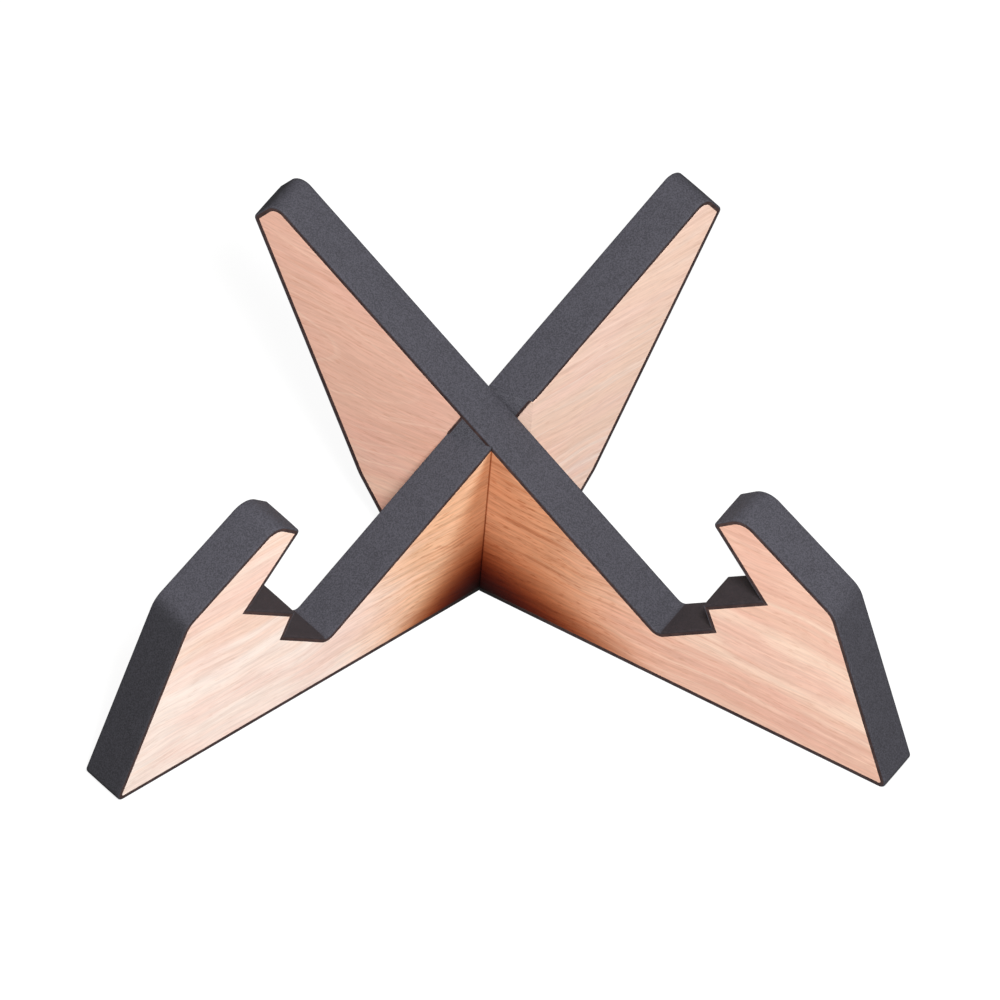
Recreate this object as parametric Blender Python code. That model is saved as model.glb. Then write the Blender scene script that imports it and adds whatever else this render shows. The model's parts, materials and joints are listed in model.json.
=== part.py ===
"""Knock-down guitar stand: two wooden boards of one outline, halved into each other as an X.

Every edge of both boards is lined with a foam strip. The upper board's slot opens downward and the lower
board's slot opens upward, so the upper board lifts off. Where the two slopes step past each other at the
crossing, a triangle of foam lies in a rebate of each board. Units are metres, +Z is up, the floor is z = 0,
and the vertical line through the crossing is the Z axis. The front of the stand faces -Y.

The outline is drawn in each board's own plane: x runs forward from the crossing, z runs up.
"""
import math

import bmesh
import bpy
from mathutils import Vector

# Boards and foam
BOARD_THICKNESS = 0.025
PAD_THICKNESS = 0.0022
CROSSING_ANGLE = math.radians(107.6)
BOARD_ARRIS = 0.0006
PAD_ARRIS = 0.0003

# Clearances
GLUE_GAP = 0.0003
SEAM_GAP = 0.0003
SLOT_CLEARANCE = 0.0003

# Outline of a board over its foam: the base
FRONT_REACH = 0.2525
REAR_REACH = 0.038
FRONT_EDGE_LEAN = math.radians(20.8)
REAR_HEEL_LEAN = math.radians(34.1)
REAR_HEEL_HEIGHT = 0.0415
REAR_EDGE_LEAN = math.radians(26.5)

# The rest slope and its tip
REST_FOOT_X = 0.113
REST_FOOT_Z = 0.0322
REST_ANGLE = math.radians(35.5)
TIP_WIDTH = 0.0201

# The two ledges with the tooth between them
LEDGE_RISE = math.radians(35.2)
LOWER_LEDGE = 0.0369
TOOTH_HEIGHT = 0.0147
TOOTH_LEAN = math.radians(23.0)
UPPER_LEDGE = 0.0399

# The hook
HOOK_LEAN = math.radians(40.0)
HOOK_LENGTH = 0.0495
HOOK_END = 0.0218
HOOK_TOP_FALL = math.radians(32.8)

# The foam triangles at the crossing: lean of the long edge, and how far each runs on behind the other board
CORNER_LEAN = math.radians(23.8)
CORNER_OVERLAP = 0.005

# Corner radii over the foam; a corner that isn't listed is sharp
TIP_TOP_RADIUS = 0.008
TIP_REAR_RADIUS = 0.004
REST_FOOT_RADIUS = 0.004
HOOK_TIP_RADIUS = 0.003
HOOK_TOP_RADIUS = 0.012
SHOULDER_RADIUS = 0.016
FOOT_RADIUS = 0.004
HEEL_RADIUS = 0.030
ARC_STEP = math.radians(7.0)

# Material colours, linear
WOOD_COLOUR = (0.80, 0.55, 0.38)
WOOD_ROUGHNESS = 0.55
FOAM_COLOUR = (0.060, 0.057, 0.070)
FOAM_ROUGHNESS = 0.92

REACH = 1.0


def clear_scene():
    """Remove every object, so that the script starts from an empty scene."""
    for item in list(bpy.data.objects):
        bpy.data.objects.remove(item, do_unlink=True)


def heading(angle):
    """Unit vector at an angle from forward, turning upward."""
    return Vector((math.cos(angle), math.sin(angle)))


def crossing_point(start, way, other_start, other_way):
    """Point where two straight lines in the board's plane meet."""
    across = way.x * other_way.y - way.y * other_way.x
    offset = other_start - start
    along = (offset.x * other_way.y - offset.y * other_way.x) / across
    return start + way * along


def outline_corners():
    """Corners of a board over its foam, clockwise from the tip, as name: (point, radius)."""
    rest_way = heading(math.pi - REST_ANGLE)
    rear_way = heading(math.pi / 2 + REAR_EDGE_LEAN)
    ledge_way = heading(LEDGE_RISE)
    tooth_way = heading(math.pi / 2 + TOOTH_LEAN)
    hook_way = heading(math.pi / 2 + HOOK_LEAN)
    front_way = heading(math.pi / 2 + FRONT_EDGE_LEAN)

    rest_foot = Vector((REST_FOOT_X, REST_FOOT_Z))
    heel = Vector((-REAR_REACH - REAR_HEEL_HEIGHT * math.tan(REAR_HEEL_LEAN), REAR_HEEL_HEIGHT))
    peak = crossing_point(rest_foot, rest_way, heel, rear_way)
    tip_angle = rest_way.angle(rear_way)

    ledge_end = rest_foot + ledge_way * LOWER_LEDGE
    tooth = ledge_end + tooth_way * TOOTH_HEIGHT
    hook_root = tooth + ledge_way * UPPER_LEDGE
    hook_tip = hook_root + hook_way * HOOK_LENGTH
    hook_top = hook_tip + heading(HOOK_LEAN) * HOOK_END
    front_foot = Vector((FRONT_REACH, 0.0))
    shoulder = crossing_point(hook_top, heading(-HOOK_TOP_FALL), front_foot, front_way)

    return {
        "tip_top": (peak - rest_way * (TIP_WIDTH / math.tan(tip_angle)), TIP_TOP_RADIUS),
        "rest_foot": (rest_foot, REST_FOOT_RADIUS),
        "ledge_end": (ledge_end, 0.0),
        "tooth": (tooth, 0.0),
        "hook_root": (hook_root, 0.0),
        "hook_tip": (hook_tip, HOOK_TIP_RADIUS),
        "hook_top": (hook_top, HOOK_TOP_RADIUS),
        "shoulder": (shoulder, SHOULDER_RADIUS),
        "front_foot": (front_foot, FOOT_RADIUS),
        "rear_foot": (Vector((-REAR_REACH, 0.0)), 0.0),
        "heel": (heel, HEEL_RADIUS),
        "tip_rear": (peak - rear_way * (TIP_WIDTH / math.sin(tip_angle)), TIP_REAR_RADIUS),
    }


def inset(corners, depth):
    """The same outline moved inward by depth, with round corners kept round the same centres."""
    names = list(corners)
    moved = {}
    for i, name in enumerate(names):
        before = corners[names[i - 1]][0]
        point, radius = corners[name]
        after = corners[names[(i + 1) % len(names)]][0]
        way_in = (point - before).normalized()
        way_out = (after - point).normalized()
        side_in = Vector((way_in.y, -way_in.x)) * depth
        side_out = Vector((way_out.y, -way_out.x)) * depth
        corner = crossing_point(point + side_in, way_in, point + side_out, way_out)
        turns_in = way_in.x * way_out.y - way_in.y * way_out.x > 0
        if turns_in:
            radius = radius + depth if radius > 0 else 0.0
        else:
            radius = max(radius - depth, 0.0)
        moved[name] = (corner, radius)
    return moved


def rounded(corners):
    """Points of each corner in order: one for a sharp corner, an arc for a round one."""
    names = list(corners)
    points = {}
    for i, name in enumerate(names):
        corner, radius = corners[name]
        to_before = (corners[names[i - 1]][0] - corner).normalized()
        to_after = (corners[names[(i + 1) % len(names)]][0] - corner).normalized()
        if radius <= 0:
            points[name] = [corner]
            continue
        half = to_before.angle(to_after) / 2
        centre = corner + (to_before + to_after).normalized() * (radius / math.sin(half))
        start = corner + to_before * (radius / math.tan(half)) - centre
        end = corner + to_after * (radius / math.tan(half)) - centre
        turn = math.atan2(start.x * end.y - start.y * end.x, start.dot(end))
        steps = max(2, math.ceil(abs(turn) / ARC_STEP))
        first = math.atan2(start.y, start.x)
        points[name] = [centre + heading(first + turn * k / steps) * radius for k in range(steps + 1)]
    return points


def strip_outline(outer, inner, names):
    """Outline of a foam strip that runs over the named corners, from one seam gap past the first one."""
    sides = []
    for points in (outer, inner):
        path = [points[names[0]][-1]]
        for name in names[1:]:
            path.extend(points[name])
        sides.append(path)
    outside, inside = sides
    way = (outside[1] - outside[0]).normalized()
    slant = abs(way.cross(inside[0] - outside[0])) / (inside[0] - outside[0]).length
    outside[0] = outside[0] + way * (SEAM_GAP / slant)
    inside[0] = inside[0] + way * (SEAM_GAP / slant)
    return outside + inside[::-1]


def corner_outline(side, grow=0.0, rise=0.0):
    """Foam triangle in the upper board's plane, on its near side (side 1) or its far side (side -1).

    It fills the step between the two slopes. Its rebate grows it all round and rises through the top edge.
    """
    half = BOARD_THICKNESS / 2
    top = REST_FOOT_Z + REST_FOOT_X * math.tan(REST_ANGLE)
    steep = math.tan(REST_ANGLE)
    own_line = (Vector((0.0, top)), Vector((1.0, -steep)))
    other_line = (
        Vector((0.0, top - side * half * math.sin(CROSSING_ANGLE) * steep)),
        Vector((1.0, -steep * math.cos(CROSSING_ANGLE))),
    )
    over, under = (own_line, other_line) if side > 0 else (other_line, own_line)
    corner_x = -side * half * math.tan(CROSSING_ANGLE / 2)
    corner = other_line[0] + other_line[1] * corner_x - Vector((side * grow, 0.0))
    slant = heading(math.pi / 2 - CORNER_LEAN)
    over_start = over[0] - Vector((0.0, (PAD_THICKNESS + SEAM_GAP) / math.cos(REST_ANGLE) - rise))
    high = crossing_point(corner, slant, over_start, over[1])
    foot = crossing_point(corner, slant, *under)
    drop = Vector((0.0, CORNER_OVERLAP + grow))
    end_x = side * (half / math.tan(CROSSING_ANGLE / 2) - PAD_THICKNESS + grow)
    end_high = over_start + over[1] * end_x
    end_low = under[0] + under[1] * end_x - drop
    return [foot - drop, foot, high, end_high, end_low]


def extrude(name, outline, thickness):
    """Closed solid: the outline in the X-Z plane, as thick as asked, centred on that plane."""
    mesh = bpy.data.meshes.new(name)
    bm = bmesh.new()
    near = [bm.verts.new((p.x, -thickness / 2, p.y)) for p in outline]
    far = [bm.verts.new((p.x, thickness / 2, p.y)) for p in outline]
    bm.faces.new(near)
    bm.faces.new(far[::-1])
    for i in range(len(outline)):
        j = (i + 1) % len(outline)
        bm.faces.new((near[j], near[i], far[i], far[j]))
    bmesh.ops.recalc_face_normals(bm, faces=bm.faces)
    bm.to_mesh(mesh)
    bm.free()
    node = bpy.data.objects.new(name, mesh)
    bpy.context.scene.collection.objects.link(node)
    return node


def stand(node, turn, offset=0.0):
    """Turn a node about the crossing and move it sideways, square to its own plane."""
    node.rotation_euler.z = turn
    node.location = (-math.sin(turn) * offset, math.cos(turn) * offset, 0.0)


def hide(block):
    """Keep a cutting block out of the finished part."""
    block.hide_render = True
    block.display_type = "WIRE"


def make_block(name, low, high):
    """Cutting block between two corners."""
    bm = bmesh.new()
    bmesh.ops.create_cube(bm, size=1.0)
    for vert in bm.verts:
        for axis in range(3):
            middle = (low[axis] + high[axis]) / 2
            vert.co[axis] = middle + vert.co[axis] * (high[axis] - low[axis])
    mesh = bpy.data.meshes.new(name)
    bm.to_mesh(mesh)
    bm.free()
    block = bpy.data.objects.new(name, mesh)
    bpy.context.scene.collection.objects.link(block)
    hide(block)
    return block


def cut(node, block):
    """Take the block away from the node."""
    modifier = node.modifiers.new(block.name, "BOOLEAN")
    modifier.operation = "DIFFERENCE"
    modifier.solver = "EXACT"
    modifier.object = block


def break_edges(node, width):
    """Narrow chamfer on the sharp edges."""
    modifier = node.modifiers.new("arris", "BEVEL")
    modifier.width = width
    modifier.segments = 1
    modifier.limit_method = "ANGLE"
    modifier.angle_limit = math.radians(50.0)


def make_material(name, colour, roughness):
    """Plain coloured material."""
    material = bpy.data.materials.new(name)
    material.use_nodes = True
    shader = material.node_tree.nodes["Principled BSDF"]
    shader.inputs["Base Color"].default_value = (*colour, 1.0)
    shader.inputs["Roughness"].default_value = roughness
    shader.inputs["Metallic"].default_value = 0.0
    material.diffuse_color = (*colour, 1.0)
    return material


def slot_blocks(side, turn, slot_low, slot_high):
    """Cutters of one board, set square to the other board, which stands at the given turn."""
    half = BOARD_THICKNESS / 2 + SLOT_CLEARANCE
    ranges = {
        "slot": ((-REACH, -half, slot_low), (REACH, half, slot_high)),
        "keep_minus_y": ((-REACH, -half, -REACH), (REACH, REACH, REACH)),
        "keep_plus_y": ((-REACH, -REACH, -REACH), (REACH, half, REACH)),
    }
    blocks = {}
    for name, (low, high) in ranges.items():
        block = make_block(f"{side}_{name}", low, high)
        block.rotation_euler.z = turn
        blocks[name] = block
    return blocks


def make_corner(side, upper_turn, face, outward, board, foam_material):
    """Foam triangle set flush with a face of the crossing, in a rebate of its board.

    face is the face's distance from the upper board's middle plane. outward is 1 where the foam lies on the
    near side of that plane and -1 where it lies on the far side.
    """
    depth = PAD_THICKNESS + GLUE_GAP
    rebate = extrude(f"{side}_rebate", corner_outline(outward, GLUE_GAP, 2 * depth), 2 * depth)
    stand(rebate, upper_turn, face)
    hide(rebate)
    cut(board, rebate)
    pad = extrude(f"{side}_corner_pad", corner_outline(outward), PAD_THICKNESS)
    pad.data.materials.append(foam_material)
    stand(pad, upper_turn, face + PAD_THICKNESS / 2)
    break_edges(pad, PAD_ARRIS)


def make_board(side, turn, other_turn, slot_low, slot_high, cut_strip, shapes, materials):
    """One board with its foam; returns the board. cut_strip names the strip that the slot parts in two."""
    outer, inner, wood = shapes
    wood_material, foam_material = materials
    blocks = slot_blocks(side, other_turn, slot_low, slot_high)
    front_is_minus = math.sin(turn - other_turn) < 0

    board_points = [point for name in wood for point in wood[name]]
    board = extrude(f"{side}_board", board_points, BOARD_THICKNESS)
    board.data.materials.append(wood_material)
    board.rotation_euler.z = turn
    break_edges(board, BOARD_ARRIS)
    cut(board, blocks["slot"])

    strips = {
        "rest_pad": ["rear_foot", "heel", "tip_rear", "tip_top", "rest_foot", "ledge_end"],
        "tooth_pad": ["ledge_end", "tooth"],
        "ledge_pad": ["tooth", "hook_root"],
        "hook_pad": ["hook_root", "hook_tip", "hook_top", "shoulder", "front_foot"],
        "base_pad": ["front_foot", "rear_foot"],
    }
    for strip, names in strips.items():
        outline = strip_outline(outer, inner, names)
        if strip == cut_strip:
            ends = {"front": front_is_minus, "rear": not front_is_minus}
        else:
            ends = {"": None}
        for end, minus in ends.items():
            label = f"{side}_{strip}_{end}" if end else f"{side}_{strip}"
            pad = extrude(label, outline, BOARD_THICKNESS)
            pad.data.materials.append(foam_material)
            pad.rotation_euler.z = turn
            break_edges(pad, PAD_ARRIS)
            if end:
                cut(pad, blocks["keep_minus_y"] if minus else blocks["keep_plus_y"])
    return board


def main():
    clear_scene()
    outer_corners = outline_corners()
    outer = rounded(outer_corners)
    inner = rounded(inset(outer_corners, PAD_THICKNESS))
    wood = rounded(inset(outer_corners, PAD_THICKNESS + GLUE_GAP))

    # The slots meet halfway up the board at the crossing
    height_at_crossing = REST_FOOT_Z + REST_FOOT_X * math.tan(REST_ANGLE)
    middle = height_at_crossing / 2
    turn_from_x = (math.pi - CROSSING_ANGLE) / 2
    upper_turn = -turn_from_x
    lower_turn = turn_from_x - math.pi
    materials = (
        make_material("wood", WOOD_COLOUR, WOOD_ROUGHNESS),
        make_material("foam", FOAM_COLOUR, FOAM_ROUGHNESS),
    )
    shapes = (outer, inner, wood)
    slot_top = middle + SLOT_CLEARANCE / 2
    slot_floor = middle - SLOT_CLEARANCE / 2
    upper = make_board("upper", upper_turn, lower_turn, -REACH, slot_top, "base_pad", shapes, materials)
    lower = make_board("lower", lower_turn, upper_turn, slot_floor, REACH, "rest_pad", shapes, materials)
    half = BOARD_THICKNESS / 2
    make_corner("upper", upper_turn, -half, 1, upper, materials[1])
    make_corner("lower", upper_turn, half + SLOT_CLEARANCE, -1, lower, materials[1])


main()
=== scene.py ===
"""Looks of the knock-down guitar stand: foam strips, wood and foam finishes, floor, light and camera.

The two boards keep their own solids and get a wood finish. Each foam strip is made here once more as a finer
strip with soft arrises, along the same outline, and stands for the plain one. A board's outline is drawn in the
board's own plane: x runs forward from the crossing, y runs through the board and z runs up. Units are metres.
"""

import json
import math

import bmesh
import bpy
from mathutils import Matrix, Vector, noise


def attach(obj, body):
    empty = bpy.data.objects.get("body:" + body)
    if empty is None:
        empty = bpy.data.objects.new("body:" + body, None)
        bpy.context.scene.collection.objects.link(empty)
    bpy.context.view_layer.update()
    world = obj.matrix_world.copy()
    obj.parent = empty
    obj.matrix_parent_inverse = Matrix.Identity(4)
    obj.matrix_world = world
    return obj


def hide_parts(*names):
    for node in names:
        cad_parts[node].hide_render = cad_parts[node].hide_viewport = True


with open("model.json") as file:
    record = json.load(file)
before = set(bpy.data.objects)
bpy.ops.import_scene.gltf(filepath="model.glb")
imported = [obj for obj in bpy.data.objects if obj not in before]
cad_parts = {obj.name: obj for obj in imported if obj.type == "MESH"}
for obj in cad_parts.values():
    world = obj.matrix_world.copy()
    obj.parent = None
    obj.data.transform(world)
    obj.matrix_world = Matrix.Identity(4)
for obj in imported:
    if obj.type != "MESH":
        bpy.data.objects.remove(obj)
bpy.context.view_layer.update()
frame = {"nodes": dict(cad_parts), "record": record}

# Camera, fitted to the photograph's viewing angle
IMAGE_WIDTH = 1000
SENSOR_WIDTH = 36.0
CAMERA_PLACE = Vector((-1.52167, -10.34363, 10.96433))
CAMERA_YAW = math.radians(8.417)
CAMERA_PITCH = math.radians(46.226)
CAMERA_ROLL = math.radians(5.190)
FOCAL_PIXELS = 29761.6
CLIP_END = 100.0

# Boards and foam
BOARD_THICKNESS = 0.025
HALF = BOARD_THICKNESS / 2
PAD_THICKNESS = 0.0022
CROSSING_ANGLE = math.radians(107.6)
UPPER_TURN = (CROSSING_ANGLE - math.pi) / 2
LOWER_TURN = -(math.pi + CROSSING_ANGLE) / 2

# Outline of a board over its foam
FRONT_REACH = 0.2525
REAR_REACH = 0.038
FRONT_EDGE_LEAN = math.radians(20.8)
REAR_HEEL_LEAN = math.radians(34.1)
REAR_HEEL_HEIGHT = 0.0415
REAR_EDGE_LEAN = math.radians(26.5)
REST_FOOT = Vector((0.113, 0.0322))
REST_ANGLE = math.radians(35.5)
TIP_WIDTH = 0.0201
LEDGE_RISE = math.radians(35.2)
LOWER_LEDGE = 0.0369
TOOTH_HEIGHT = 0.0147
TOOTH_LEAN = math.radians(23.0)
UPPER_LEDGE = 0.0399
HOOK_LEAN = math.radians(40.0)
HOOK_LENGTH = 0.0495
HOOK_END = 0.0218
HOOK_TOP_FALL = math.radians(32.8)
CROSSING_HEIGHT = REST_FOOT.y + REST_FOOT.x * math.tan(REST_ANGLE)
CORNER_RADII = {
    "tip_top": 0.008,
    "rest_foot": 0.004,
    "ledge_end": 0.0,
    "tooth": 0.0,
    "hook_root": 0.0,
    "hook_tip": 0.003,
    "hook_top": 0.012,
    "shoulder": 0.016,
    "front_foot": 0.004,
    "rear_foot": 0.0,
    "heel": 0.030,
    "tip_rear": 0.004,
}

# The foam triangles that line the step at the crossing
LINING_LEAN = math.radians(23.8)
LINING_OVERLAP = 0.005
LINING_ARRIS = 0.00012

# Gaps between the finished foam pieces
SEAM_GAP = 0.0001
LINING_GAP = 0.0003
TIGHT_GAP = 0.00005
SLOT_GAP = 0.0001

# Fineness and softness of the foam strips
ARC_STEP = math.radians(6.0)
RUN_STEP = 0.0025
RIM_STEPS = 4
WIDTH_STEPS = 12
OUTER_ARRIS = 0.0006
END_ARRIS = ((0.00015, 0.0), (0.00005, 0.00004), (0.0, 0.00014))
LEAN_RUN = 0.015
CROWN = 0.00008
RIPPLE = 0.00004
RIPPLE_SCALE = 45.0

# The dark line of glue along both sides of a strip, as (beyond the wood's face, height over the wood)
GLUE_TOP = 0.0012
GLUE_BEAD = ((0.00003, 0.0005), (0.00006, -0.0001), (0.00005, -0.0006), (0.0, -0.00075))
GLUE_ROOT = (0.0006, -0.0003)
GLUE_RUN_OUT = 0.006
GLUE_ON_LINING = 0.0012

# Corners of a box round both ledges, in a board's plane
LEDGES = (Vector((0.1135, 0.02)), Vector((0.19, 0.0895)))
LEDGE_MARGIN = 0.1

STRIPS = {
    "rest_pad": ["rear_foot", "heel", "tip_rear", "tip_top", "rest_foot", "ledge_end"],
    "tooth_pad": ["ledge_end", "tooth"],
    "ledge_pad": ["tooth", "hook_root"],
    "hook_pad": ["hook_root", "hook_tip", "hook_top", "shoulder", "front_foot"],
    "base_pad": ["front_foot", "rear_foot"],
}


def heading(angle):
    """Unit vector at an angle from forward, turning upward, in a board's plane."""
    return Vector((math.cos(angle), math.sin(angle)))


def meeting_point(start, way, other_start, other_way):
    """Point where two straight lines in a board's plane meet."""
    across = way.x * other_way.y - way.y * other_way.x
    offset = other_start - start
    return start + way * ((offset.x * other_way.y - offset.y * other_way.x) / across)


def outline_corners():
    """Corners of a board over its foam, clockwise from the tip, as name: point."""
    rest_way = heading(math.pi - REST_ANGLE)
    rear_way = heading(math.pi / 2 + REAR_EDGE_LEAN)
    ledge_way = heading(LEDGE_RISE)
    heel = Vector((-REAR_REACH - REAR_HEEL_HEIGHT * math.tan(REAR_HEEL_LEAN), REAR_HEEL_HEIGHT))
    peak = meeting_point(REST_FOOT, rest_way, heel, rear_way)
    tip_angle = rest_way.angle(rear_way)
    ledge_end = REST_FOOT + ledge_way * LOWER_LEDGE
    tooth = ledge_end + heading(math.pi / 2 + TOOTH_LEAN) * TOOTH_HEIGHT
    hook_root = tooth + ledge_way * UPPER_LEDGE
    hook_tip = hook_root + heading(math.pi / 2 + HOOK_LEAN) * HOOK_LENGTH
    hook_top = hook_tip + heading(HOOK_LEAN) * HOOK_END
    front_foot = Vector((FRONT_REACH, 0.0))
    front_way = heading(math.pi / 2 + FRONT_EDGE_LEAN)
    return {
        "tip_top": peak - rest_way * (TIP_WIDTH / math.tan(tip_angle)),
        "rest_foot": REST_FOOT,
        "ledge_end": ledge_end,
        "tooth": tooth,
        "hook_root": hook_root,
        "hook_tip": hook_tip,
        "hook_top": hook_top,
        "shoulder": meeting_point(hook_top, heading(-HOOK_TOP_FALL), front_foot, front_way),
        "front_foot": front_foot,
        "rear_foot": Vector((-REAR_REACH, 0.0)),
        "heel": heel,
        "tip_rear": peak - rear_way * (TIP_WIDTH / math.sin(tip_angle)),
    }


def corner_points(before, corner, after, radius, depth):
    """Points of one corner at a depth inside the outline: an arc, or a single point where it is sharp."""
    way_in = (corner - before).normalized()
    way_out = (after - corner).normalized()
    side_in = Vector((way_in.y, -way_in.x)) * depth
    side_out = Vector((way_out.y, -way_out.x)) * depth
    moved = meeting_point(corner + side_in, way_in, corner + side_out, way_out)
    if radius == 0:
        return [moved]
    turn = math.atan2(way_in.x * way_out.y - way_in.y * way_out.x, way_in.dot(way_out))
    reach = radius + math.copysign(depth, turn)
    sideways = Vector((-way_in.y, way_in.x)) * math.copysign(reach, turn)
    centre = moved - way_in * (reach * math.tan(abs(turn) / 2)) + sideways
    steps = max(2, math.ceil(abs(turn) / ARC_STEP))
    first = math.atan2(-sideways.y, -sideways.x)
    return [centre + heading(first + turn * k / steps) * reach for k in range(steps + 1)]


def outline_points(depth):
    """Points of every corner at a depth inside the outline, in order, as name: list of points."""
    corners = outline_corners()
    names = list(corners)
    points = {}
    for i, name in enumerate(names):
        before = corners[names[i - 1]]
        after = corners[names[(i + 1) % len(names)]]
        points[name] = corner_points(before, corners[name], after, CORNER_RADII[name], depth)
    return points


def strip_stations(names):
    """Pairs of outer and inner points along a strip that runs over the named corners."""
    outer, inner = outline_points(0.0), outline_points(PAD_THICKNESS)
    pairs = [(outer[names[0]][-1], inner[names[0]][-1])]
    for name in names[1:]:
        pairs.extend(zip(outer[name], inner[name]))
    way = (pairs[1][0] - pairs[0][0]).normalized()
    mitre = (pairs[0][1] - pairs[0][0]).normalized()
    gap = way * (SEAM_GAP / abs(way.cross(mitre)))
    pairs[0] = (pairs[0][0] + gap, pairs[0][1] + gap)
    return pairs


def beyond_slot(pairs, slot_x):
    """The stations on one side of the slot, ending on its wall, and which end meets the wall."""
    kept = [i for i, (outer, inner) in enumerate(pairs) if outer.x / slot_x > 1]
    meets = "last" if kept[0] == 0 else "first"
    side = kept[-1] if meets == "last" else kept[0] - 1
    wall = tuple(a.lerp(b, (slot_x - a.x) / (b.x - a.x)) for a, b in zip(pairs[side], pairs[side + 1]))
    if meets == "last":
        return pairs[: side + 1] + [wall], meets
    return [wall] + pairs[side + 1 :], meets


def close_stations(pairs):
    """The same stations with more of them put in along the straight runs."""
    close = [pairs[0]]
    for (outer, inner), (next_outer, next_inner) in zip(pairs, pairs[1:]):
        steps = max(1, round((next_outer - outer).length / RUN_STEP))
        for k in range(1, steps + 1):
            close.append((outer.lerp(next_outer, k / steps), inner.lerp(next_inner, k / steps)))
    return close


def section_points(drawn_in, hang):
    """Rounded section of a strip as (sideways, height over the wood, glue or not), drawn in all round.

    hang is the share of its full drop that the bead of glue hangs down over the wood.
    """
    half, top = HALF - drawn_in, PAD_THICKNESS - drawn_in
    reach = half - OUTER_ARRIS
    right = []
    for k in range(RIM_STEPS + 1):
        angle = math.radians(90 * (RIM_STEPS - k) / RIM_STEPS)
        right.append((reach + OUTER_ARRIS * math.cos(angle), top - OUTER_ARRIS * (1 - math.sin(angle)), False))
    right.append((half, GLUE_TOP, True))
    right.extend((half + proud, level if level > 0 else level * hang, True) for proud, level in GLUE_BEAD)
    right.append((half - GLUE_ROOT[0], GLUE_ROOT[1] * hang, False))
    right.append((half - GLUE_ROOT[0], drawn_in, False))
    left = [(-side, level, glue) for side, level, glue in reversed(right)]
    left = [(side, level, right[-2 - i][2] if i < len(right) - 1 else False) for i, (side, level, _) in enumerate(left)]
    under = half - GLUE_ROOT[0]
    floor = [(under - 2 * under * k / WIDTH_STEPS, drawn_in, False) for k in range(1, WIDTH_STEPS)]
    cover = [(-reach + 2 * reach * k / WIDTH_STEPS, top, False) for k in range(1, WIDTH_STEPS)]
    return right + floor + left + cover


def strip_rows(pairs, meets, lean):
    """Rows of a strip as (outer, inner, drawn-in, sideways lean, hang of the glue).

    The end that meets the slot leans along it, and the glue runs out there.
    """
    close = close_stations(pairs)
    travelled = [0.0]
    for (outer, inner), (next_outer, next_inner) in zip(close, close[1:]):
        travelled.append(travelled[-1] + (next_outer - outer).length)
    rows = []
    for (outer, inner), run in zip(close, travelled):
        to_slot = {"first": run, "last": travelled[-1] - run}.get(meets, LEAN_RUN)
        rows.append((outer, inner, 0.0, lean * max(0.0, 1.0 - to_slot / LEAN_RUN), min(1.0, to_slot / GLUE_RUN_OUT)))
    ends = []
    for near, beyond in ((0, 1), (-1, -2)):
        outer, inner, _, end_lean, hang = rows[near]
        way = (rows[beyond][0] - outer).normalized()
        ends.append([(outer + way * back, inner + way * back, inset, end_lean, hang) for back, inset in END_ARRIS])
    return ends[0][::-1] + rows[1:-1] + ends[1]


def on_ledge(start, end):
    """Whether a short run of the outline lies on one of the two ledges that a guitar rests on."""
    rising = (end - start).angle(heading(LEDGE_RISE)) < LEDGE_MARGIN
    return rising and all(low < place < high for low, place, high in zip(LEDGES[0], start, LEDGES[1]))


def strip_piece(name, pairs, turn, meets=None, lean=0.0):
    """Closed foam strip along the stations. Its faces take the foam and glue materials, the darker ledge foam of
    painted shade and the lighter lining foam of painted light.
    """
    rows = strip_rows(pairs, meets, lean)
    bm = bmesh.new()
    rings = []
    for i, (outer, inner, drawn_in, row_lean, hang) in enumerate(rows):
        way = (rows[min(i + 1, len(rows) - 1)][0] - rows[max(i - 1, 0)][0]).normalized()
        rise = (outer - inner).normalized()
        ring = []
        section = section_points(drawn_in, hang)
        for side, level, glue in section:
            share = level / PAD_THICKNESS
            place = inner.lerp(outer, share) - rise * (CROWN * share * (side / HALF) ** 2)
            if row_lean:
                place = place + way * (side * row_lean / way.x)
            ring.append(bm.verts.new((place.x, side, place.y)))
        rings.append(ring)
    for i, (ring, following) in enumerate(zip(rings, rings[1:])):
        for k, vert in enumerate(ring):
            beside = (k + 1) % len(ring)
            face = bm.faces.new((vert, ring[beside], following[beside], following[k]))
            # Faces on the ledges take the darker ledge foam, painted shade for ledges that face away from the light.
            face.material_index = 1 if section[k][2] else 2 if on_ledge(rows[i][0], rows[i + 1][0]) else 0
    caps = {"first": bm.faces.new(rings[0]), "last": bm.faces.new(rings[-1][::-1])}
    # The end that meets the slot takes the lighter lining foam, painted light.
    if meets:
        caps[meets].material_index = 3
    for vert in bm.verts:
        vert.co.y *= 1.0 - RIPPLE / HALF * (1.0 + noise.noise(vert.co * RIPPLE_SCALE))
    return finished_piece(name, bm, Matrix.Rotation(turn, 4, "Z"))


def finished_piece(name, bm, placing):
    """Object made from a mesh that was drawn in a board's plane, put where the board stands."""
    bmesh.ops.recalc_face_normals(bm, faces=bm.faces)
    for face in bm.faces:
        face.smooth = len(face.verts) == 4
    mesh = bpy.data.meshes.new(name)
    bm.to_mesh(mesh)
    bm.free()
    mesh.transform(placing)
    piece = bpy.data.objects.new(name, mesh)
    bpy.context.scene.collection.objects.link(piece)
    return piece


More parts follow.
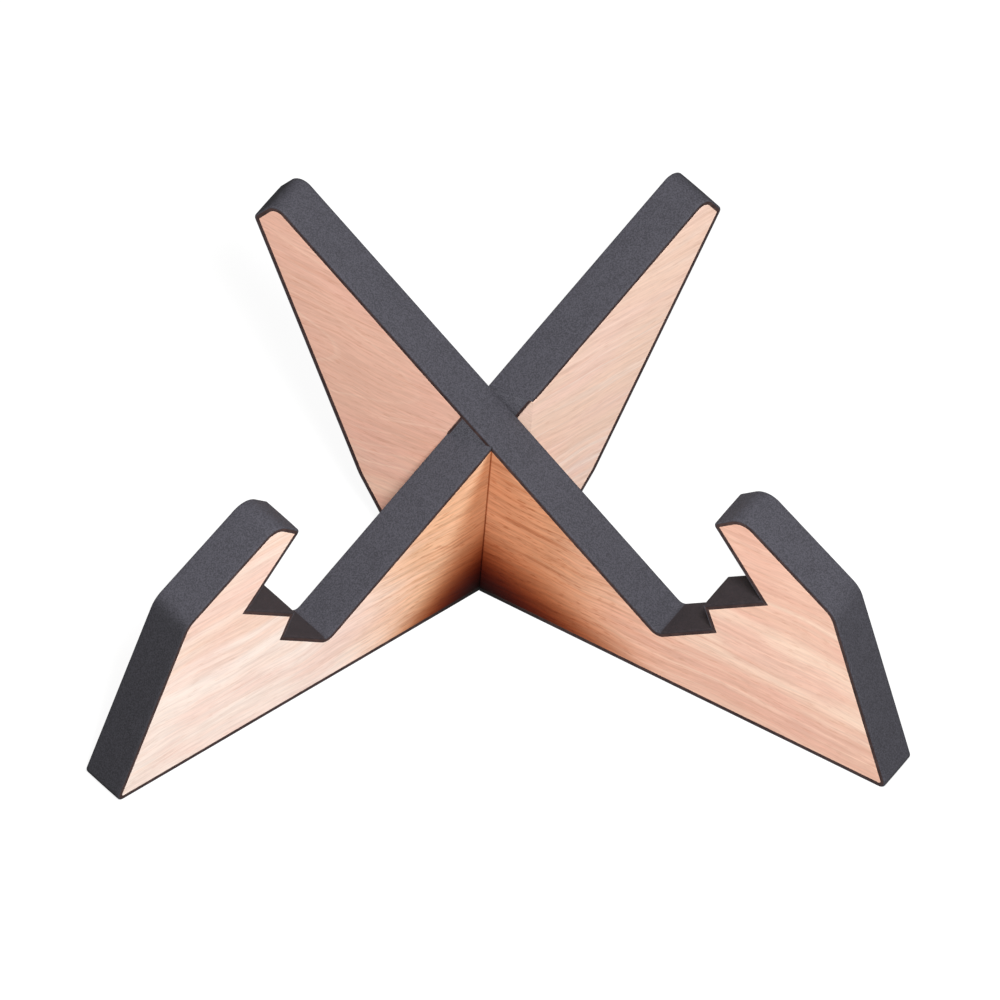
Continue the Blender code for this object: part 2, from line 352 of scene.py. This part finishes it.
def lining_outline(side, gap):
    """Foam triangle in the upper board's plane, on its near side (side 1) or its far side (side -1)."""
    steep = math.tan(REST_ANGLE)
    own_line = (Vector((0.0, CROSSING_HEIGHT)), Vector((1.0, -steep)))
    other_line = (
        Vector((0.0, CROSSING_HEIGHT - side * HALF * math.sin(CROSSING_ANGLE) * steep)),
        Vector((1.0, -steep * math.cos(CROSSING_ANGLE))),
    )
    over, under = (own_line, other_line) if side > 0 else (other_line, own_line)
    corner = other_line[0] + other_line[1] * (-side * HALF * math.tan(CROSSING_ANGLE / 2))
    slant = heading(math.pi / 2 - LINING_LEAN)
    over_start = over[0] - Vector((0.0, (PAD_THICKNESS + gap) / math.cos(REST_ANGLE)))
    high = meeting_point(corner, slant, over_start, over[1])
    foot = meeting_point(corner, slant, *under)
    drop = Vector((0.0, LINING_OVERLAP))
    end_x = side * (HALF / math.tan(CROSSING_ANGLE / 2) - PAD_THICKNESS)
    return [foot - drop, foot, high, over_start + over[1] * end_x, under[0] + under[1] * end_x - drop]


def lining_piece(name, side, gap):
    """Foam triangle with its face just clear of the other board."""
    face = -side * HALF + (SLOT_GAP if side < 0 else 0.0)
    bm = bmesh.new()
    outline = lining_outline(side, gap)
    near = [bm.verts.new((p.x, face, p.y)) for p in outline]
    far = [bm.verts.new((p.x, face + PAD_THICKNESS, p.y)) for p in outline]
    bm.faces.new(near)
    bm.faces.new(far[::-1])
    for i in range(len(outline)):
        j = (i + 1) % len(outline)
        bm.faces.new((near[j], near[i], far[i], far[j]))
    bmesh.ops.recalc_face_normals(bm, faces=bm.faces)
    bmesh.ops.bevel(bm, geom=bm.edges[:], offset=LINING_ARRIS, segments=2, profile=0.5, affect="EDGES")
    slant = (outline[2] - outline[1]).normalized()
    outward = Vector((slant.y, -slant.x))
    if outward.dot(outline[3] - outline[2]) > 0:
        outward.negate()
    cut = outline[1] - outward * GLUE_ON_LINING
    cut, outward = Vector((cut.x, 0.0, cut.y)), Vector((outward.x, 0.0, outward.y))
    bmesh.ops.bisect_plane(bm, geom=bm.verts[:] + bm.edges[:] + bm.faces[:], plane_co=cut, plane_no=outward)
    for face in bm.faces:
        # All but a strip along the slanted edge take the lighter lining foam, painted light for upright faces that get
        # less light.
        face.material_index = 1 if (face.calc_center_median() - cut).dot(outward) > 0 else 3
    return finished_piece(name, bm, Matrix.Rotation(UPPER_TURN, 4, "Z"))


def foam_pieces():
    """Every finished foam piece, as (piece, the name of the plain strip that it stands for)."""
    made = []
    slot_x = (HALF + SLOT_GAP) / math.sin(CROSSING_ANGLE)
    lean = 1.0 / math.tan(CROSSING_ANGLE)
    for board, turn, split_strip, slot_lean in (
        ("upper", UPPER_TURN, "base_pad", -lean),
        ("lower", LOWER_TURN, "rest_pad", lean),
    ):
        for strip, names in STRIPS.items():
            pairs = strip_stations(names)
            plain = f"{board}_{strip}"
            if strip != split_strip:
                made.append((strip_piece(f"foam_{plain}", pairs, turn), plain))
                continue
            for end, wall_x in (("front", slot_x), ("rear", -slot_x)):
                part, meets = beyond_slot(pairs, wall_x)
                piece = strip_piece(f"foam_{plain}_{end}", part, turn, meets, slot_lean)
                made.append((piece, f"{plain}_{end}"))
    made.append((lining_piece("foam_upper_corner_pad", 1, LINING_GAP), "upper_corner_pad"))
    made.append((lining_piece("foam_lower_corner_pad", -1, TIGHT_GAP), "lower_corner_pad"))
    return made


class Wiring:
    """Short calls for adding and linking the nodes of one material or group."""

    def __init__(self, tree):
        self.tree = tree

    def add(self, kind, links=None, **values):
        """New node. links names its inputs by socket name or number, with a socket or a value for each."""
        node = self.tree.nodes.new(kind)
        for name, value in values.items():
            setattr(node, name, value)
        for name, source in (links or {}).items():
            self.feed(source, node.inputs[name])
        return node

    def feed(self, source, socket):
        """Link a socket to an input, or set the input's own value."""
        if isinstance(source, bpy.types.NodeSocket):
            self.tree.links.new(source, socket)
        else:
            socket.default_value = source

    def math(self, operation, *values):
        """Result of one sum on numbers."""
        return self.add("ShaderNodeMath", dict(enumerate(values)), operation=operation).outputs[0]

    def vector_math(self, operation, *values):
        """Result of one sum on vectors."""
        return self.add("ShaderNodeVectorMath", dict(enumerate(values)), operation=operation).outputs[0]

    def length(self, vector):
        """Length of a vector."""
        return self.add("ShaderNodeVectorMath", {0: vector}, operation="LENGTH").outputs["Value"]

    def dot(self, first, second):
        """Dot product of two vectors."""
        return self.add("ShaderNodeVectorMath", {0: first, 1: second}, operation="DOT_PRODUCT").outputs["Value"]

    def noise(self, place, stretch, detail, roughness=0.5):
        """Cloudy pattern, about one patch per unit once the place is stretched."""
        stretched = self.vector_math("MULTIPLY", place, stretch)
        links = {"Vector": stretched, "Scale": 1.0, "Detail": detail, "Roughness": roughness}
        return self.add("ShaderNodeTexNoise", links).outputs["Fac"]

    def spread(self, value, low, high, to_low=0.0, to_high=1.0):
        """The value moved from one range to another with soft ends."""
        links = {"Value": value, "From Min": low, "From Max": high, "To Min": to_low, "To Max": to_high}
        return self.add("ShaderNodeMapRange", links, interpolation_type="SMOOTHSTEP").outputs["Result"]

    def mix(self, share, first, second, blend="MIX"):
        """Two colours mixed by a share."""
        node = self.add("ShaderNodeMix", data_type="RGBA", blend_type=blend)
        for socket, source in zip((node.inputs[0], node.inputs[6], node.inputs[7]), (share, first, second)):
            self.feed(source, socket)
        return node.outputs[2]


def new_group(name, inputs, outputs):
    """Empty shader node group with the named sockets; returns the group, its wiring, its inputs and its output."""
    group = bpy.data.node_groups.new(name, "ShaderNodeTree")
    for socket, kind in inputs.items():
        group.interface.new_socket(socket, in_out="INPUT", socket_type=kind)
    for socket, kind in outputs.items():
        group.interface.new_socket(socket, in_out="OUTPUT", socket_type=kind)
    wire = Wiring(group)
    return group, wire, wire.add("NodeGroupInput").outputs, wire.add("NodeGroupOutput").inputs


def grain_group():
    """Figure of a flat-sawn board: rings round a pith that lies beside the board, streaks, fibres and pores, and the
    reach of a painted warm shade in front of the crossing.
    """
    group, wire, given, result = new_group(
        "board_grain",
        {
            "Place": "NodeSocketVector",
            "Pith": "NodeSocketVector",
            "Taper": "NodeSocketFloat",
            "Warm Shade Reach": "NodeSocketFloat",
            "Low Tone": "NodeSocketFloat",
        },
        {
            "Bands": "NodeSocketFloat",
            "Pale Streaks": "NodeSocketFloat",
            "Dark Streaks": "NodeSocketFloat",
            "Fibres": "NodeSocketFloat",
            "Pores": "NodeSocketFloat",
            "Blush": "NodeSocketFloat",
            "Warm Shade": "NodeSocketFloat",
        },
    )
    place = given["Place"]
    forward = wire.add("ShaderNodeSeparateXYZ", {"Vector": place}).outputs["X"]
    wander = wire.math("SUBTRACT", wire.noise(place, (13.0, 30.0, 17.0), 2.0), 0.5)
    lift = wire.add("ShaderNodeCombineXYZ", {"Z": wire.math("MULTIPLY", wander, 0.014)}).outputs["Vector"]
    waved = wire.vector_math("ADD", place, lift)
    from_pith = wire.vector_math("MULTIPLY", wire.vector_math("SUBTRACT", waved, given["Pith"]), (0.0, 1.0, 1.0))
    rearward = wire.math("SMOOTH_MIN", forward, 0.0, 0.05)
    ring = wire.math("MULTIPLY_ADD", rearward, given["Taper"], wire.length(from_pith))
    flow = wire.add("ShaderNodeCombineXYZ", {"X": forward, "Z": ring}).outputs["Vector"]
    bands = wire.noise(flow, (5.0, 0.0, 150.0), 3.0, 0.55)
    height = wire.add("ShaderNodeSeparateXYZ", {"Vector": waved}).outputs["Z"]
    dropped = wire.math("SUBTRACT", height, wire.spread(forward, 0.0, 0.05, 0.0, 0.010))
    low = wire.math("MULTIPLY", given["Low Tone"], wire.spread(dropped, 0.012, 0.036, -1.0, 0.0))
    high = wire.spread(height, 0.055, 0.085, 0.0, -0.28)
    lean = wire.math("MULTIPLY_ADD", forward, 1.1, wire.math("ADD", low, high))
    wire.feed(wire.math("ADD", bands, lean), result["Bands"])
    wire.feed(wire.spread(wire.noise(flow, (6.0, 0.0, 330.0), 2.0), 0.55, 0.70), result["Pale Streaks"])
    wire.feed(wire.spread(wire.noise(waved, (14.0, 60.0, 420.0), 3.0, 0.6), 0.5, 0.72), result["Dark Streaks"])
    wire.feed(wire.noise(waved, (55.0, 200.0, 800.0), 3.0, 0.6), result["Fibres"])
    wire.feed(wire.spread(wire.noise(waved, (160.0, 700.0, 1100.0), 1.0), 0.58, 0.72), result["Pores"])
    wire.feed(wire.spread(wire.noise(flow, (13.0, 0.0, 38.0), 2.0), 0.42, 0.66), result["Blush"])

    # Painted shade: a deeper, warmer tone on each board's front part near the crossing, ragged at its edge and fading
    # out at the given reach.
    front = wire.spread(forward, 0.0, 0.008)
    frayed = wire.math("SUBTRACT", wire.noise(waved, (7.0, 30.0, 90.0), 3.0), 0.5)
    ragged = wire.math("MULTIPLY_ADD", frayed, 0.05, forward)
    fade = wire.spread(ragged, 0.04, given["Warm Shade Reach"], 1.0, 0.0)
    wire.feed(wire.math("MULTIPLY", front, fade), result["Warm Shade"])

    return group


def corner_group():
    """Share of its own colour that a surface keeps under the painted shade of the front corner, where both boards meet
    over the floor.
    """
    group, wire, given, result = new_group(
        "painted_corner_shade",
        {
            "Place": "NodeSocketVector",
            "Reach": "NodeSocketFloat",
            "Steepness": "NodeSocketFloat",
            "Depth": "NodeSocketFloat",
            "Inner Slope": "NodeSocketFloat",
            "Inner Shade": "NodeSocketFloat",
        },
        {"Kept": "NodeSocketFloat"},
    )
    place = given["Place"]
    beyond = [wire.dot(place, (side * math.cos(UPPER_TURN - math.pi / 2), math.sin(UPPER_TURN - math.pi / 2), 0.0)) for side in (1.0, -1.0)]
    inside = wire.spread(wire.math("MINIMUM", *beyond), HALF - 0.0014, HALF - 0.0004)
    from_foot = wire.vector_math("SUBTRACT", place, (0.0, -HALF / math.cos(UPPER_TURN), 0.0))
    away = wire.length(wire.vector_math("MULTIPLY", from_foot, (1.0, 1.0, 0.0)))
    height = wire.add("ShaderNodeSeparateXYZ", {"Vector": place}).outputs["Z"]
    # Painted shade, deepest at the foot of the front corner and fading with distance and height.
    reached = wire.math("DIVIDE", wire.math("MULTIPLY_ADD", height, given["Steepness"], away), given["Reach"])
    short = wire.math("POWER", wire.math("SUBTRACT", 1.0, wire.math("MINIMUM", reached, 1.0)), 2.6)
    painted_foot_shade = wire.math("EXPONENT", wire.math("MULTIPLY", short, wire.math("MULTIPLY", given["Depth"], -1.0)))
    # Painted shade in a column beside the corner, wider toward the floor.
    below = wire.math("MULTIPLY", wire.math("MAXIMUM", wire.math("SUBTRACT", 0.110, height), 0.010), given["Inner Slope"])
    inner = wire.spread(wire.math("DIVIDE", away, below), 0.3, 1.0, given["Inner Shade"], 1.0)
    # A thin dark line along the corner where the boards meet.
    joint = wire.spread(away, 0.0001, 0.0008, 0.45, 1.0)
    kept = wire.math("MULTIPLY", wire.math("MULTIPLY", painted_foot_shade, inner), joint)
    wire.feed(wire.math("SUBTRACT", 1.0, wire.math("MULTIPLY", inside, wire.math("SUBTRACT", 1.0, kept))), result["Kept"])
    return group


def new_material(name):
    """Node material; returns the material, its wiring and its shader."""
    material = bpy.data.materials.new(name)
    material.use_nodes = True
    return material, Wiring(material.node_tree), material.node_tree.nodes["Principled BSDF"]


def group_node(wire, group, values):
    """The outputs of a group that gets the given values or sockets on its inputs."""
    node = wire.add("ShaderNodeGroup", node_tree=group)
    for socket, source in values.items():
        wire.feed(source, node.inputs[socket])
    return node.outputs


def shaded(wire, colour, kept, warmth):
    """The colour darkened by painted shade to the kept share, the more so toward blue."""
    shares = {i: wire.math("POWER", kept, power) for i, power in enumerate(warmth)}
    return wire.mix(1.0, colour, wire.add("ShaderNodeCombineColor", shares).outputs[0], "MULTIPLY")


def wood_material(name, turn, figure, corner, tones):
    """Oiled light wood, with a painted warm shade in front of the crossing and painted shade in the front corner. turn
    is the board's own, so that the fibres run along the board.
    """
    # The tones are pale and deep bands, blush, streaks, and the outer and inner ends of the painted warm shade.
    pale, deep, blush, streak, rim, warm_shade_deep = ((*tone, 1.0) for tone in tones)
    material, wire, shader = new_material(name)
    coords = wire.add("ShaderNodeTexCoord").outputs["Object"]
    place = wire.add("ShaderNodeVectorRotate", {"Vector": coords, "Angle": -turn}, rotation_type="Z_AXIS").outputs[0]
    sees = group_node(wire, grain, {"Place": place, **figure})
    colour = wire.mix(wire.spread(sees["Bands"], 0.25, 0.80), deep, pale)
    colour = wire.mix(wire.math("MULTIPLY", sees["Blush"], 0.55), colour, blush)
    colour = wire.mix(wire.math("MULTIPLY", sees["Pale Streaks"], 0.45), colour, pale)
    # Painted shade: the wood turns deeper and warmer in front of the crossing, with bolder streaks and fibres.
    warm_shade_colour = wire.mix(sees["Warm Shade"], rim, warm_shade_deep)
    colour = wire.mix(wire.math("MULTIPLY", sees["Warm Shade"], 0.85), colour, warm_shade_colour)
    bold = wire.math("MULTIPLY_ADD", sees["Warm Shade"], 0.45, 0.25)
    colour = wire.mix(wire.math("MULTIPLY", sees["Dark Streaks"], bold), colour, streak, "MULTIPLY")
    swing = wire.math("MULTIPLY_ADD", sees["Warm Shade"], 0.12, 0.14)
    fibre = wire.math("MULTIPLY_ADD", wire.spread(sees["Fibres"], 0.3, 0.7, -0.6, 0.4), swing, 1.0)
    grey = wire.add("ShaderNodeCombineColor", {0: fibre, 1: fibre, 2: fibre}).outputs[0]
    colour = wire.mix(1.0, colour, grey, "MULTIPLY")
    colour = wire.mix(wire.math("MULTIPLY", sees["Pores"], bold), colour, streak, "MULTIPLY")
    # Painted shade darkens the front corner toward its foot.
    kept = group_node(wire, painted_corner_shade, {"Place": coords, **corner})["Kept"]
    colour = shaded(wire, colour, kept, WOOD_SHADE_WARMTH)
    wire.feed(colour, shader.inputs["Base Color"])
    wire.feed(wire.spread(sees["Fibres"], 0.3, 0.7, 0.50, 0.62), shader.inputs["Roughness"])
    shader.inputs["Specular IOR Level"].default_value = 0.12
    relief = wire.math("SUBTRACT", sees["Fibres"], sees["Pores"])
    bump = wire.add("ShaderNodeBump", {"Height": relief, "Strength": 0.15, "Distance": 0.0002})
    wire.feed(bump.outputs["Normal"], shader.inputs["Normal"])
    return material


def front_edge_shade_group():
    """Share of its own colour that foam keeps under painted shade on the lower board's front edge, which is turned from
    the light.
    """
    group, wire, given, result = new_group(
        "front_edge_painted_shade",
        {"Place": "NodeSocketVector", "Kept": "NodeSocketFloat"},
        {"Kept": "NodeSocketFloat"},
    )
    corners = outline_corners()
    shoulder = corners["shoulder"]
    ahead = wire.dot(given["Place"], (math.cos(LOWER_TURN), math.sin(LOWER_TURN), 0.0))
    height = wire.add("ShaderNodeSeparateXYZ", {"Vector": given["Place"]}).outputs["Z"]
    low = wire.spread(height, shoulder.y - 0.003, shoulder.y + 0.004, 1.0, 0.0)
    lean = math.tan(FRONT_EDGE_LEAN)
    beyond = wire.math("ADD", wire.math("MULTIPLY", height, lean), ahead)
    outer = wire.spread(beyond, FRONT_REACH - 0.008, FRONT_REACH - 0.005)
    away = wire.math("SUBTRACT", 1.0, given["Kept"])
    wire.feed(wire.math("SUBTRACT", 1.0, wire.math("MULTIPLY", wire.math("MULTIPLY", low, outer), away)), result["Kept"])
    return group


def foam_group():
    """Cell structure of dense foam: fine speckle over a slow mottle."""
    group, wire, given, result = new_group(
        "foam_cells",
        {"Dark": "NodeSocketColor", "Light": "NodeSocketColor"},
        {"Colour": "NodeSocketColor", "Roughness": "NodeSocketFloat", "Relief": "NodeSocketFloat"},
    )
    place = wire.add("ShaderNodeTexCoord").outputs["Object"]
    cells = wire.noise(place, (1300.0, 1300.0, 1300.0), 2.0, 0.6)
    mottle = wire.noise(place, (90.0, 90.0, 90.0), 3.0, 0.6)
    level = wire.math("MULTIPLY_ADD", mottle, 0.12, wire.math("MULTIPLY", cells, 0.88))
    wire.feed(wire.mix(wire.spread(level, 0.36, 0.64), given["Dark"], given["Light"]), result["Colour"])
    wire.feed(wire.spread(cells, 0.3, 0.7, 0.78, 0.92), result["Roughness"])
    wire.feed(cells, result["Relief"])
    return group


def foam_material(name, dark, light):
    """Charcoal foam with a closed, matt skin."""
    material, wire, shader = new_material(name)
    sees = group_node(wire, cells, {"Dark": (*dark, 1.0), "Light": (*light, 1.0)})
    place = wire.add("ShaderNodeTexCoord").outputs["Object"]
    # Painted shade in the front corner.
    kept = group_node(wire, painted_corner_shade, {"Place": place, **FOAM_CORNER_SHADE})["Kept"]
    # Painted shade on the lower board's front edge.
    kept = wire.math("MULTIPLY", kept, group_node(wire, front_edge_shade, {"Place": place, "Kept": 0.58})["Kept"])
    wire.feed(shaded(wire, sees["Colour"], kept, FOAM_SHADE_WARMTH), shader.inputs["Base Color"])
    wire.feed(sees["Roughness"], shader.inputs["Roughness"])
    bump = wire.add("ShaderNodeBump", {"Height": sees["Relief"], "Strength": 0.4, "Distance": 0.0002})
    wire.feed(bump.outputs["Normal"], shader.inputs["Normal"])
    return material


def glue_material():
    """Dark brown line of glue and cut foam where a strip meets the wood."""
    material, wire, shader = new_material("glue_line")
    place = wire.add("ShaderNodeTexCoord").outputs["Object"]
    patchy = wire.spread(wire.noise(place, (260.0, 260.0, 260.0), 3.0, 0.6), 0.3, 0.7)
    colour = wire.mix(patchy, (0.030, 0.015, 0.014, 1.0), (0.060, 0.034, 0.031, 1.0))
    # Painted shade in the front corner.
    kept = group_node(wire, painted_corner_shade, {"Place": place, **FOAM_CORNER_SHADE})["Kept"]
    wire.feed(shaded(wire, colour, kept, FOAM_SHADE_WARMTH), shader.inputs["Base Color"])
    wire.feed(wire.spread(patchy, 0.0, 1.0, 0.55, 0.8), shader.inputs["Roughness"])
    shader.inputs["Specular IOR Level"].default_value = 0.3
    bump = wire.add("ShaderNodeBump", {"Height": patchy, "Strength": 0.3, "Distance": 0.0002})
    wire.feed(bump.outputs["Normal"], shader.inputs["Normal"])
    return material


def floor_material():
    """Pale floor that the camera sees as white, with the stand's soft shadow on it."""
    material, wire, shader = new_material("pale_floor")
    seen = wire.add("ShaderNodeLightPath").outputs["Is Camera Ray"]
    wire.feed(wire.mix(seen, (0.18, 0.18, 0.18, 1.0), (0.13, 0.13, 0.13, 1.0)), shader.inputs["Base Color"])
    place = wire.add("ShaderNodeNewGeometry").outputs["Position"]
    far = wire.add("ShaderNodeVectorMath", {0: place}, operation="LENGTH").outputs["Value"]
    glow = wire.math("MULTIPLY", seen, wire.spread(far, 0.7, 2.5, 0.92, 1.0))
    shader.inputs["Emission Color"].default_value = (1.0, 1.0, 1.0, 1.0)
    wire.feed(glow, shader.inputs["Emission Strength"])
    shader.inputs["Roughness"].default_value = 0.9
    return material


def make_floor():
    """Plain floor just under the base strips."""
    bpy.ops.mesh.primitive_plane_add(size=60.0, location=(0, 0, -0.0002))
    floor = bpy.context.object
    floor.name = "floor"
    floor.data.materials.append(floor_material())


def make_camera():
    """Long-lens camera that looks down at the stand from the front."""
    yaw, pitch, roll = CAMERA_YAW, CAMERA_PITCH, CAMERA_ROLL
    ahead = Vector((math.sin(yaw) * math.cos(pitch), math.cos(yaw) * math.cos(pitch), -math.sin(pitch)))
    right = Vector((math.cos(yaw), -math.sin(yaw), 0.0))
    up = right.cross(ahead)
    turned_right = right * math.cos(roll) + up * math.sin(roll)
    turned_up = up * math.cos(roll) - right * math.sin(roll)
    data = bpy.data.cameras.new("camera")
    data.sensor_width = SENSOR_WIDTH
    data.lens = FOCAL_PIXELS * SENSOR_WIDTH / IMAGE_WIDTH
    data.clip_end = CLIP_END
    camera = bpy.data.objects.new("camera", data)
    bpy.context.scene.collection.objects.link(camera)
    turn = Matrix((turned_right, turned_up, -ahead)).transposed()
    camera.matrix_world = Matrix.Translation(CAMERA_PLACE) @ turn.to_4x4()
    bpy.context.scene.camera = camera


# Soft boxes as name: (azimuth, elevation, distance, width, level that a facing white surface reaches)
SOFT_BOXES = {
    "main_box": (-90.0, 54.0, 1.6, 0.3, 1.55),
    "right_box": (-15.0, 35.0, 1.5, 0.8, 0.16),
}
WORLD_LEVEL = 0.24
LAMP_AIM = Vector((0.0, 0.0, 0.06))


def make_light():
    """Soft boxes at the front and on the right, in a dim white room."""
    for name, (azimuth, elevation, distance, width, level) in SOFT_BOXES.items():
        data = bpy.data.lights.new(name, "AREA")
        data.shape = "SQUARE"
        data.size = width
        data.energy = level * (math.pi * distance) ** 2
        lamp = bpy.data.objects.new(name, data)
        flat = heading(math.radians(azimuth)) * math.cos(math.radians(elevation))
        lamp.location = LAMP_AIM + Vector((flat.x, flat.y, math.sin(math.radians(elevation)))) * distance
        lamp.rotation_euler = (LAMP_AIM - lamp.location).to_track_quat("-Z", "Y").to_euler()
        bpy.context.scene.collection.objects.link(lamp)
    world = bpy.data.worlds.new("studio")
    bpy.context.scene.world = world
    world.use_nodes = True
    wire = Wiring(world.node_tree)
    background = world.node_tree.nodes["Background"]
    background.inputs["Color"].default_value = (1.0, 1.0, 1.0, 1.0)
    seen = wire.add("ShaderNodeLightPath").outputs["Is Camera Ray"]
    wire.feed(wire.spread(seen, 0.0, 1.0, WORLD_LEVEL, 1.0), background.inputs["Strength"])


# How far the painted shade of the front corner reaches, and how much more it darkens in red, green and blue
FOAM_CORNER_SHADE = {"Reach": 0.07, "Steepness": 1.3, "Depth": 3.0, "Inner Slope": 0.5, "Inner Shade": 1.0}
FOAM_SHADE_WARMTH = (1.0, 1.0, 1.0)
WOOD_SHADE_WARMTH = (0.88, 1.5, 1.95)

make_camera()
make_floor()
make_light()
bpy.context.scene.view_settings.view_transform = "Standard"

grain = grain_group()
cells = foam_group()
painted_corner_shade = corner_group()
front_edge_shade = front_edge_shade_group()
woods = {
    "upper_board": wood_material(
        "upper_board_wood",
        UPPER_TURN,
        {"Pith": (0.0, 0.0125, 0.118), "Taper": 0.22, "Warm Shade Reach": 0.145, "Low Tone": 0.34},
        {"Reach": 0.140, "Steepness": 2.18, "Depth": 5.6, "Inner Slope": 1.03, "Inner Shade": 0.87},
        [(0.90, 0.66, 0.52), (0.77, 0.455, 0.345), (0.77, 0.43, 0.34), (0.70, 0.52, 0.42), (0.83, 0.43, 0.26), (0.63, 0.28, 0.135)],
    ),
    "lower_board": wood_material(
        "lower_board_wood",
        LOWER_TURN,
        {"Pith": (0.0, -0.0125, 0.170), "Taper": 0.03, "Warm Shade Reach": 0.11, "Low Tone": 0.0},
        {"Reach": 0.0854, "Steepness": 1.28, "Depth": 6.22, "Inner Slope": 0.52, "Inner Shade": 0.62},
        [(0.88, 0.745, 0.665), (0.80, 0.57, 0.455), (0.81, 0.555, 0.475), (0.75, 0.60, 0.52), (0.88, 0.50, 0.29), (0.78, 0.44, 0.25)],
    ),
}
strip_foam = foam_material("charcoal_foam", (0.024, 0.023, 0.030), (0.056, 0.054, 0.068))
# Darker copy of the charcoal foam: painted shade on the ledges.
shaded_ledge_foam = foam_material("shaded_ledge_foam", (0.012, 0.008, 0.010), (0.031, 0.022, 0.026))
# Lighter copy of the charcoal foam: painted light on the upright lining and the strip ends against it.
lit_lining_foam = foam_material("painted_light_lining_foam", (0.041, 0.040, 0.050), (0.100, 0.097, 0.117))
glue = glue_material()

node_body = {node: body for body, nodes in frame["record"]["behaviour"]["bodies"].items() for node in nodes}
for node, wood in woods.items():
    for material_slot in frame["nodes"][node].material_slots:
        material_slot.material = wood
for piece, plain in foam_pieces():
    for finish in (strip_foam, glue, shaded_ledge_foam, lit_lining_foam):
        piece.data.materials.append(finish)
    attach(piece, node_body[plain])
    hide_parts(plain)
